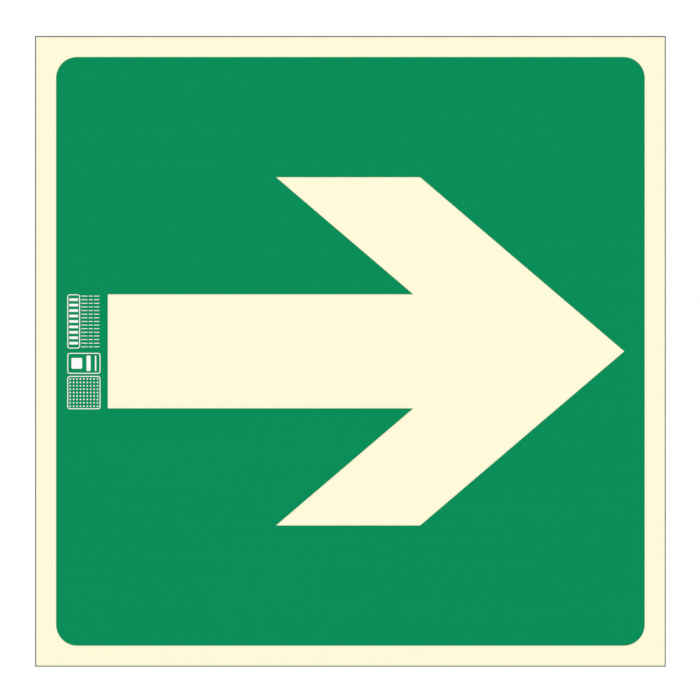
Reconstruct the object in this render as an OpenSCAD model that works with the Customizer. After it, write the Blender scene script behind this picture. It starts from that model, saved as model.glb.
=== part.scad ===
// Square evacuation arrow sign: one rigid photoluminescent sheet, screen printed on its front.
// It is modelled as it hangs: +X to the right, +Z up and the front towards -Y.
// The origin is the middle of the back face, which lies flat against the wall.

/* [Sheet] */
// Width of the sheet
sheet_w = 210; // [150:1:300]
// Height of the sheet
sheet_h = 210; // [150:1:300]
// Thickness of the sheet
sheet_t = 1; // [0.7:0.1:3]

/* [Green field] */
// Width of the bare border between the sheet's edge and the green field
border_w = 7; // [3:0.5:15]
// Radius of the green field's corners
field_r = 7; // [2:0.5:20]
// Thickness of the dried ink
ink_t = 0.05; // [0.03:0.01:0.2]

/* [Arrow] */
// Green left between the arrow's tip and the field's right edge
tip_gap = 6.8; // [2:0.1:15]
// Green left between the end of the arrow's shaft and the field's left edge
tail_gap = 17.2; // [2:0.1:40]
// Height of the shaft
shaft_h = 38; // [20:1:60]
// Height of the head over its outer corners
head_h = 116; // [80:1:130]
// Length of the head from its outer corners to the tip
head_l = 68; // [40:1:90]
// Width of the flat end of each barb
barb_w = 48; // [20:1:60]

/* [Edge line] */
// Width of the thin dark line along the sheet's edge
line_w = 0.3; // [0.1:0.05:1]

/* [Hidden] */
$fn = 96;

// The field leaves an even border on all four sides.
field_w = sheet_w - 2 * border_w;
field_h = sheet_h - 2 * border_w;

// The arrow points along +X and lies evenly about Z = 0.
tip_x = field_w / 2 - tip_gap;
tail_x = tail_gap - field_w / 2;
outer_corner_x = tip_x - head_l;
inner_corner_x = outer_corner_x - barb_w;

// The inner edge of each barb is parallel to the outer one, down to the shaft.
run_per_rise = head_l / (head_h / 2);
notch_x = inner_corner_x + run_per_rise * (head_h - shaft_h) / 2;

// Upper half of the arrow, from the end of the shaft to the head's outer corner
upper_half = [
    [tail_x, shaft_h / 2],
    [notch_x, shaft_h / 2],
    [inner_corner_x, head_h / 2],
    [outer_corner_x, head_h / 2]
];

// Stands a flat drawing upright and thickens it towards the front.
module upright(thickness) {
    rotate([90, 0, 0])
        linear_extrude(thickness)
            children();
}

// Lays a flat drawing on the front of the sheet as a film of ink.
module printed() {
    translate([0, -sheet_t, 0])
        upright(ink_t)
            children();
}

// Outline of the whole sheet, which a trim takes in evenly on all sides
module sheet_outline(trim = 0) {
    square([sheet_w - 2 * trim, sheet_h - 2 * trim], center = true);
}

// Outline of the green field: a rectangle with its four corners rounded
module field_outline() {
    square([field_w - 2 * field_r, field_h], center = true);
    square([field_w, field_h - 2 * field_r], center = true);
    for (side = [-1, 1], end = [-1, 1])
        translate([side * (field_w / 2 - field_r), end * (field_h / 2 - field_r)])
            circle(field_r);
}

// Outline of the arrow: the upper half, the tip, and the upper half mirrored downwards
module arrow_outline() {
    last = len(upper_half) - 1;
    lower_half = [for (i = [last:-1:0]) [upper_half[i].x, -upper_half[i].y]];
    polygon(concat(upper_half, [[tip_x, 0]], lower_half));
}

// Rigid sheet, cut square. Its bare front shows as the border and the arrow.
module sheet() {
    color("#FEFBDB")
        upright(sheet_t)
            sheet_outline();
}

// Green ink over the whole field, left out where the arrow is
module green_print() {
    color("#008D59")
        printed()
            difference() {
                field_outline();
                arrow_outline();
            }
}

// Fine dark line that runs round the front, flush with the sheet's edge
module edge_line() {
    color("#3A3937")
        printed()
            difference() {
                sheet_outline();
                sheet_outline(line_w);
            }
}

sheet();
green_print();
edge_line();
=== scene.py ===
from math import cos, radians, sin

import bpy
import numpy as np
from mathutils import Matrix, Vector


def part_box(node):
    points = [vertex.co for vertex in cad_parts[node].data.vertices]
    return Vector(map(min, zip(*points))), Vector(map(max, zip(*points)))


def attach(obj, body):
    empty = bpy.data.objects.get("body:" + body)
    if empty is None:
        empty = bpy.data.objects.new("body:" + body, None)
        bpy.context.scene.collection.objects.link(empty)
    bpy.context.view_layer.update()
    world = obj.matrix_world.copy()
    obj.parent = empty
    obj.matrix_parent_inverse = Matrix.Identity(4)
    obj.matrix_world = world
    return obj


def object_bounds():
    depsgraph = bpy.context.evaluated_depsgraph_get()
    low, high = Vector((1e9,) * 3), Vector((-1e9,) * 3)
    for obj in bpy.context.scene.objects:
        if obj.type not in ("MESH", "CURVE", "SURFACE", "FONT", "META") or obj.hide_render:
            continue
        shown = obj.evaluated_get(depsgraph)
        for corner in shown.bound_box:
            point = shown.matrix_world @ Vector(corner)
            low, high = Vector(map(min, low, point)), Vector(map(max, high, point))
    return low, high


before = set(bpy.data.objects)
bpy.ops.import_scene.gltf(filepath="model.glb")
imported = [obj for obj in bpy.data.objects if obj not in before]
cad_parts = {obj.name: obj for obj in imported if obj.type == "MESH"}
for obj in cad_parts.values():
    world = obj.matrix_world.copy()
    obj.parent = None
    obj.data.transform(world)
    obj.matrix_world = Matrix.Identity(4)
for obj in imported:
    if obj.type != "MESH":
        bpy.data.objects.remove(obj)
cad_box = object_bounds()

# Camera
# The sign is seen square-on, through a long lens. A millimetre of its front is about three
# pixels wide in the picture, and the sheet's middle lies just off the middle of the picture.
MM = 0.001
PICTURE = 700
PIXELS_PER_MM = 3.003
SHEET_MIDDLE = (350.41, 351.32)
LENS = 200
SENSOR = 36

front_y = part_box("green_print")[0][1]
viewing_distance = PICTURE / PIXELS_PER_MM * MM * LENS / SENSOR
camera = bpy.data.objects.new("camera", bpy.data.cameras.new("camera"))
camera.data.lens = LENS
camera.data.sensor_width = SENSOR
camera.location = (
    (PICTURE / 2 - SHEET_MIDDLE[0]) / PIXELS_PER_MM * MM,
    front_y - viewing_distance,
    (SHEET_MIDDLE[1] - PICTURE / 2) / PIXELS_PER_MM * MM,
)
camera.rotation_euler = (radians(90), 0, 0)
bpy.context.collection.objects.link(camera)
bpy.context.scene.camera = camera
bpy.context.scene.view_settings.view_transform = "Standard"


# Sheet
# One flat square of rigid photoluminescent plastic, cut to size with a blade. The luminous
# pigment gives the front its pale colour and fine grain. The back is plain and off-white.
LUMINOUS = (0.978, 0.940, 0.690)  # linear red, green and blue, as every colour here
PLAIN_BACK = (0.870, 0.872, 0.848)
CUT_EDGE = (0.790, 0.780, 0.680)
FACE_SKIN = 0.02 * MM  # a point no deeper than this counts as on the front or the back
GRAIN = 0.35 * MM
PEEL = 2 * MM
DRIFT = 45 * MM
CUT_MARK = 0.5 * MM
CUT_RUN = (1, 40, 1)  # how many times longer each mark is along X, Y and Z
SHEET_RELIEF = 0.006 * MM


class Shade:
    """A socket in a node tree. Sums and comparisons add Math nodes, and node() adds any other."""

    def __init__(self, tree, socket=None):
        self.tree = tree
        self.socket = socket

    def node(self, kind, settings=(), inputs=(), output=0):
        """Adds a node of this kind: first its settings, then its sockets' values or links."""
        made = self.tree.nodes.new("ShaderNode" + kind)
        for name, value in dict(settings).items():
            setattr(made, name, value)
        for name, value in dict(inputs).items():
            if isinstance(value, Shade):
                self.tree.links.new(value.socket, made.inputs[name])
            else:
                made.inputs[name].default_value = value
        return Shade(self.tree, made.outputs[output] if made.outputs else None)

    def maths(self, operation, first, second):
        """Adds a Math node. Either side of it may be a socket or a number."""
        return self.node("Math", {"operation": operation}, {0: first, 1: second})

    def __add__(self, other):
        return self.maths("ADD", self, other)

    def __sub__(self, other):
        return self.maths("SUBTRACT", self, other)

    def __rsub__(self, other):
        return self.maths("SUBTRACT", other, self)

    def __mul__(self, other):
        return self.maths("MULTIPLY", self, other)

    def __lt__(self, other):
        return self.maths("LESS_THAN", self, other)

    def __gt__(self, other):
        return self.maths("GREATER_THAN", self, other)

    __radd__ = __add__
    __rmul__ = __mul__

    def patches(self, size, drawn_out=(1, 1, 1)):
        """Soft random patches about size metres across, drawn out along X, Y and Z, from -1 to 1."""
        point = self.node("TexCoord", output="Object")
        scale = tuple(1 / (size * times) for times in drawn_out)
        point = self.node("Mapping", inputs={"Vector": point, "Scale": scale})
        noise = self.node("TexNoise", inputs={"Vector": point, "Scale": 1, "Detail": 2})
        return 2 * noise - 1

    def mix(self, share, first, second):
        """The first colour where share is 0, and the second where it is 1."""
        return self.node("Mix", {"data_type": "RGBA"}, {0: share, 6: first, 7: second}, output=2)

    def toned(self, colour, change):
        """The colour, lighter by the share that change says, or darker where it is below 0."""
        level = 1 + change
        grey = self.node("CombineColor", inputs={"Red": level, "Green": level, "Blue": level})
        return self.node(
            "Mix",
            {"data_type": "RGBA", "blend_type": "MULTIPLY"},
            {0: 1, 6: (*colour, 1), 7: grey},
            output=2,
        )


def new_finish(name):
    """A material with no nodes yet, and the Shade that adds them."""
    material = bpy.data.materials.new(name)
    material.use_nodes = True
    material.node_tree.nodes.clear()
    return material, Shade(material.node_tree)


def coat(shade, colour, roughness, shine, relief, depth):
    """Ends a material: one opaque surface with a relief of this depth in metres."""
    normal = shade.node("Bump", inputs={"Height": relief, "Distance": depth, "Strength": 1})
    surface = shade.node(
        "BsdfPrincipled",
        inputs={
            "Base Color": colour,
            "Roughness": roughness,
            "Specular IOR Level": shine,
            "Normal": normal,
        },
    )
    shade.node("OutputMaterial", inputs={"Surface": surface})


def luminous_sheet():
    """A pale satin front with a fine grain, a plain back, and cut sides with marks across them."""
    material, shade = new_finish("luminous_sheet")
    front_face, back_face = (corner[1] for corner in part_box("sheet"))
    point = shade.node("TexCoord", output="Object")
    depth = shade.node("SeparateXYZ", inputs={"Vector": point}, output="Y")
    front = depth < front_face + FACE_SKIN
    back = depth > back_face - FACE_SKIN
    grain = shade.patches(GRAIN)
    peel = shade.patches(PEEL)
    drift = shade.patches(DRIFT)
    cut_marks = shade.patches(CUT_MARK, drawn_out=CUT_RUN)
    sides = shade.toned(CUT_EDGE, 0.10 * cut_marks)
    pale_front = shade.toned(LUMINOUS, 0.045 * grain + 0.006 * drift)
    plain_back = shade.toned(PLAIN_BACK, 0.035 * grain + 0.020 * drift)
    colour = shade.mix(back, shade.mix(front, sides, pale_front), plain_back)
    coat(
        shade,
        colour,
        roughness=0.62 - 0.18 * front + 0.05 * peel,
        shine=0.15,
        relief=(front + back) * (peel + 0.2 * grain) + (1 - front - back) * cut_marks,
        depth=SHEET_RELIEF,
    )
    return material


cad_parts["sheet"].material_slots[0].material = luminous_sheet()


# Green print
# One coat of opaque green ink, screen printed over the whole field with the arrow left out.
# It dries to an even satin film, with a faint mottle and the drag of the squeegee across it.
GREEN = (0.0, 0.260, 0.0955)
MOTTLE = 0.6 * MM
STREAK = 4 * MM
STREAK_RUN = (30, 1, 1)  # how many times longer each streak is along X, Y and Z
THICKNESS_DRIFT = 60 * MM
INK_RELIEF = 0.004 * MM


def green_ink():
    """Deep green ink with a fine mottle and long, soft streaks from side to side."""
    material, shade = new_finish("green_ink")
    mottle = shade.patches(MOTTLE)
    streaks = shade.patches(STREAK, drawn_out=STREAK_RUN)
    drift = shade.patches(THICKNESS_DRIFT)
    coat(
        shade,
        shade.toned(GREEN, 0.110 * mottle + 0.020 * streaks + 0.015 * drift),
        roughness=0.44 + 0.04 * mottle + 0.03 * streaks,
        shine=0.05,
        relief=mottle,
        depth=INK_RELIEF,
    )
    return material


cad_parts["green_print"].material_slots[0].material = green_ink()


# Edge line
# A hairline of dark grey round the very edge of the sheet: painted shade, which stands in for the thin
# dark line that the sheet's shaded cut edge shows. Its tone is a little uneven along its length.
# The colour of the painted shade along the cut edge.
EDGE_SHADE = (0.042, 0.041, 0.038)
UNEVENNESS = 1.5 * MM


def dark_ink():
    """Matt dark grey, painted as the shade along the sheet's cut edge."""
    material, shade = new_finish("dark_ink")
    unevenness = shade.patches(UNEVENNESS)
    coat(
        shade,
        shade.toned(EDGE_SHADE, 0.15 * unevenness),
        roughness=0.6 + 0.05 * unevenness,
        shine=0.1,
        relief=unevenness,
        depth=INK_RELIEF,
    )
    return material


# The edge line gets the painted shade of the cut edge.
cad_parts["edge_line"].material_slots[0].material = dark_ink()


# Small print
# A second pass of white ink leaves a narrow block of plain marks on the green, as tall as the
# shaft and just left of its end: a striped tab with columns of ticks, a panel and a grid.
WHITE = (0.930, 0.945, 0.930)
WHITE_MOTTLE = 0.5 * MM
WHITE_RELIEF = 0.003 * MM
# The rest is in millimetres, with places counted from the middle of the sheet.
BLOCK_LEFT = -94.3
BLOCK_WIDTH = 11.1
BLOCK_TOP = 19.0
TAB_WIDTH = 4.3
TAB_HEIGHT = 18.1
PANEL_TOP = -0.5
PANEL_HEIGHT = 7.0
GRID_TOP = -8.2
OUTLINE_CORNER = 0.9
OUTLINE_WIDTH = 0.32
STRIPES = 9
STRIPE = (3.0, 0.9)
STRIPE_CORNER = 0.3
TICKS = 15
TICK_WIDTHS = (2.1, 1.4, 1.8)
TICK_HEIGHT = 0.25
TICK_CORNER = 0.1
BAR_WIDTHS = (3.6, 1.4, 0.5)
BAR_HEIGHTS = (3.6, 5.2, 5.2)
BAR_CORNER = 0.4
DOTS = 9
DOT = (0.5, 0.5)
DOT_CORNER = 0.12
INK_HEIGHT = 0.02
INK_FOOT = 0.04
INK_ROOT = 0.01
SHOULDER = (0.3, 0.7)  # where the film's edge turns over, as shares of its foot and height
ARC_STEPS = 4


def white_ink():
    """Opaque white ink with a faint mottle."""
    material, shade = new_finish("white_ink")
    mottle = shade.patches(WHITE_MOTTLE)
    coat(
        shade,
        shade.toned(WHITE, 0.03 * mottle),
        roughness=0.5 + 0.04 * mottle,
        shine=0.1,
        relief=mottle,
        depth=WHITE_RELIEF,
    )
    return material


white = white_ink()


def printed(name, middles, sizes, corner, section, filled):
    """Marks of ink, each with its section carried round a rectangle with rounded corners.

    middles and sizes hold each mark's X and Z, in millimetres. section lists how far each edge
    of the film lies inside the outline, and how high above the green. A filled mark is covered
    inside its last edge and closed underneath, and an open one's section closes on itself.
    The point at angle a lies on the corner circle of its quarter: with half sides w and h and
    corner radius r it is (sign(cos a) (w - r) + r cos a, sign(sin a) (h - r) + r sin a).
    """
    inset, height = np.array(section).T[:, None, :, None]
    half_x, half_z = np.array(sizes).T[:, :, None, None] / 2
    middle_x, middle_z = np.array(middles).T[:, :, None, None]
    radius = np.minimum(corner, np.minimum(half_x, half_z)) - inset
    quarter = (np.arange(ARC_STEPS) + 0.5) / ARC_STEPS * np.pi / 2
    angle = (np.arange(4)[:, None] * np.pi / 2 + quarter).ravel()
    x = middle_x + np.sign(np.cos(angle)) * (half_x - inset - radius) + radius * np.cos(angle)
    z = middle_z + np.sign(np.sin(angle)) * (half_z - inset - radius) + radius * np.sin(angle)
    y = front_y / MM - height + 0 * x
    points = np.stack([x, y, z], axis=-1).reshape(-1, 3) * MM

    number = np.arange(x.size).reshape(x.shape)
    ahead = np.roll(number, -1, axis=2)
    sides = np.stack([number, ahead, np.roll(ahead, -1, axis=1), np.roll(number, -1, axis=1)], axis=-1)
    if filled:
        sides = sides[:, :-1]
    faces = sides.reshape(-1, 4).tolist()
    if filled:
        faces += number[:, -1].tolist() + number[:, 0, ::-1].tolist()
    mesh = bpy.data.meshes.new(name)
    mesh.from_pydata(points.tolist(), [], faces)
    mesh.materials.append(white)
    piece = bpy.data.objects.new(name, mesh)
    bpy.context.collection.objects.link(piece)
    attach(piece, "root")


def lattice(xs, zs):
    """Every point whose X is one of xs and whose Z is one of zs, column by column."""
    return np.stack(np.meshgrid(xs, zs, indexing="ij"), axis=-1).reshape(-1, 2)


def evenly(first, last, count):
    """The middles of so many equal stretches from the first place to the last."""
    return first + (last - first) * (np.arange(count) + 0.5) / count


def side_by_side(left, right, widths):
    """The middles of things of these widths, with equal gaps between them and at both ends."""
    gap = (right - left - sum(widths)) / (len(widths) + 1)
    return left + np.cumsum(np.add(widths, gap)) - np.divide(widths, 2)


film_shoulder = (SHOULDER[0] * INK_FOOT, SHOULDER[1] * INK_HEIGHT)
film_edge = [(0, -INK_ROOT), film_shoulder, (INK_FOOT, INK_HEIGHT)]
line_section = film_edge + [(OUTLINE_WIDTH - inset, height) for inset, height in reversed(film_edge)]

tab_x = BLOCK_LEFT + TAB_WIDTH / 2
block_x = BLOCK_LEFT + BLOCK_WIDTH / 2
block_right = BLOCK_LEFT + BLOCK_WIDTH
tab_bottom = BLOCK_TOP - TAB_HEIGHT
panel_z = PANEL_TOP - PANEL_HEIGHT / 2
grid_z = GRID_TOP - BLOCK_WIDTH / 2
printed(
    "white_outlines",
    middles=[(tab_x, BLOCK_TOP - TAB_HEIGHT / 2), (block_x, panel_z), (block_x, grid_z)],
    sizes=[(TAB_WIDTH, TAB_HEIGHT), (BLOCK_WIDTH, PANEL_HEIGHT), (BLOCK_WIDTH, BLOCK_WIDTH)],
    corner=OUTLINE_CORNER,
    section=line_section,
    filled=False,
)

stripes = lattice([tab_x], evenly(BLOCK_TOP - OUTLINE_CORNER, tab_bottom + OUTLINE_CORNER, STRIPES))
printed("white_stripes", stripes, [STRIPE] * STRIPES, STRIPE_CORNER, film_edge, filled=True)

tick_x = side_by_side(BLOCK_LEFT + TAB_WIDTH, block_right, TICK_WIDTHS)
ticks = lattice(tick_x, evenly(BLOCK_TOP, tab_bottom, TICKS))
tick_sizes = [(width, TICK_HEIGHT) for width in TICK_WIDTHS for tick in range(TICKS)]
printed("white_ticks", ticks, tick_sizes, TICK_CORNER, film_edge, filled=True)

bar_x = side_by_side(BLOCK_LEFT, block_right, BAR_WIDTHS)
bar_sizes = list(zip(BAR_WIDTHS, BAR_HEIGHTS))
bars = lattice(bar_x, [panel_z])
printed("white_bars", bars, bar_sizes, BAR_CORNER, film_edge, filled=True)

dot_x = evenly(BLOCK_LEFT + OUTLINE_CORNER / 2, block_right - OUTLINE_CORNER / 2, DOTS)
dots = lattice(dot_x, dot_x - block_x + grid_z)
printed("white_grid", dots, [DOT] * DOTS**2, DOT_CORNER, film_edge, filled=True)


# Stage
# A wide, pale floor lies a little below the sign, under one large, soft sun. The surround is
# white to look at, also in gloss and glass, and lights the sign more gently than it looks.
FLOOR_DROP = 0.05
FLOOR_RADIUS = 8.0
FLOOR_SIDES = 96
PALE = (0.92, 0.92, 0.92, 1)
SURROUND = 0.62
SUN_POWER = 1.70
SUN_WIDTH = 40
SUN_AZIMUTH = -30
SUN_ELEVATION = 65


def white_surround():
    """White for camera, gloss and glass rays, and SURROUND for the light that falls on things."""
    world = bpy.data.worlds.new("white_surround")
    world.use_nodes = True
    world.node_tree.nodes.clear()
    shade = Shade(world.node_tree)
    camera_ray = shade.node("LightPath", output="Is Camera Ray")
    glossy_ray = shade.node("LightPath", output="Is Glossy Ray")
    clear_ray = shade.node("LightPath", output="Is Transmission Ray")
    seen = shade.maths("MAXIMUM", shade.maths("MAXIMUM", camera_ray, glossy_ray), clear_ray)
    strength = SURROUND + (1 - SURROUND) * seen
    light = shade.node("Background", inputs={"Color": (1, 1, 1, 1), "Strength": strength})
    shade.node("OutputWorld", inputs={"Surface": light})
    return world


def pale_floor():
    """A matt, pale floor, which shows white where it is fully lit and keeps the soft shadows."""
    material, shade = new_finish("pale_floor")
    matt = shade.node("BsdfDiffuse", inputs={"Color": PALE})
    shade.node("OutputMaterial", inputs={"Surface": matt})
    return material


def soft_sun():
    """A wide sun, which shines from its azimuth, counted from in front of the sign, and elevation."""
    lamp = bpy.data.lights.new("soft_sun", "SUN")
    lamp.energy = SUN_POWER
    lamp.angle = radians(SUN_WIDTH)
    azimuth = radians(SUN_AZIMUTH)
    elevation = radians(SUN_ELEVATION)
    towards = Vector((sin(azimuth) * cos(elevation), -cos(azimuth) * cos(elevation), sin(elevation)))
    holder = bpy.data.objects.new("soft_sun", lamp)
    holder.rotation_euler = towards.to_track_quat("Z", "Y").to_euler()
    bpy.context.collection.objects.link(holder)


bpy.context.scene.world = white_surround()
turn = np.linspace(0, 2 * np.pi, FLOOR_SIDES, endpoint=False)
rim = np.stack([FLOOR_RADIUS * np.cos(turn), FLOOR_RADIUS * np.sin(turn), 0 * turn], axis=-1)
rim[:, 2] = cad_box[0][2] - FLOOR_DROP
floor_mesh = bpy.data.meshes.new("floor")
floor_mesh.from_pydata(rim.tolist(), [], [list(range(FLOOR_SIDES))])
floor_mesh.materials.append(pale_floor())
floor = bpy.data.objects.new("floor", floor_mesh)
bpy.context.collection.objects.link(floor)
soft_sun()
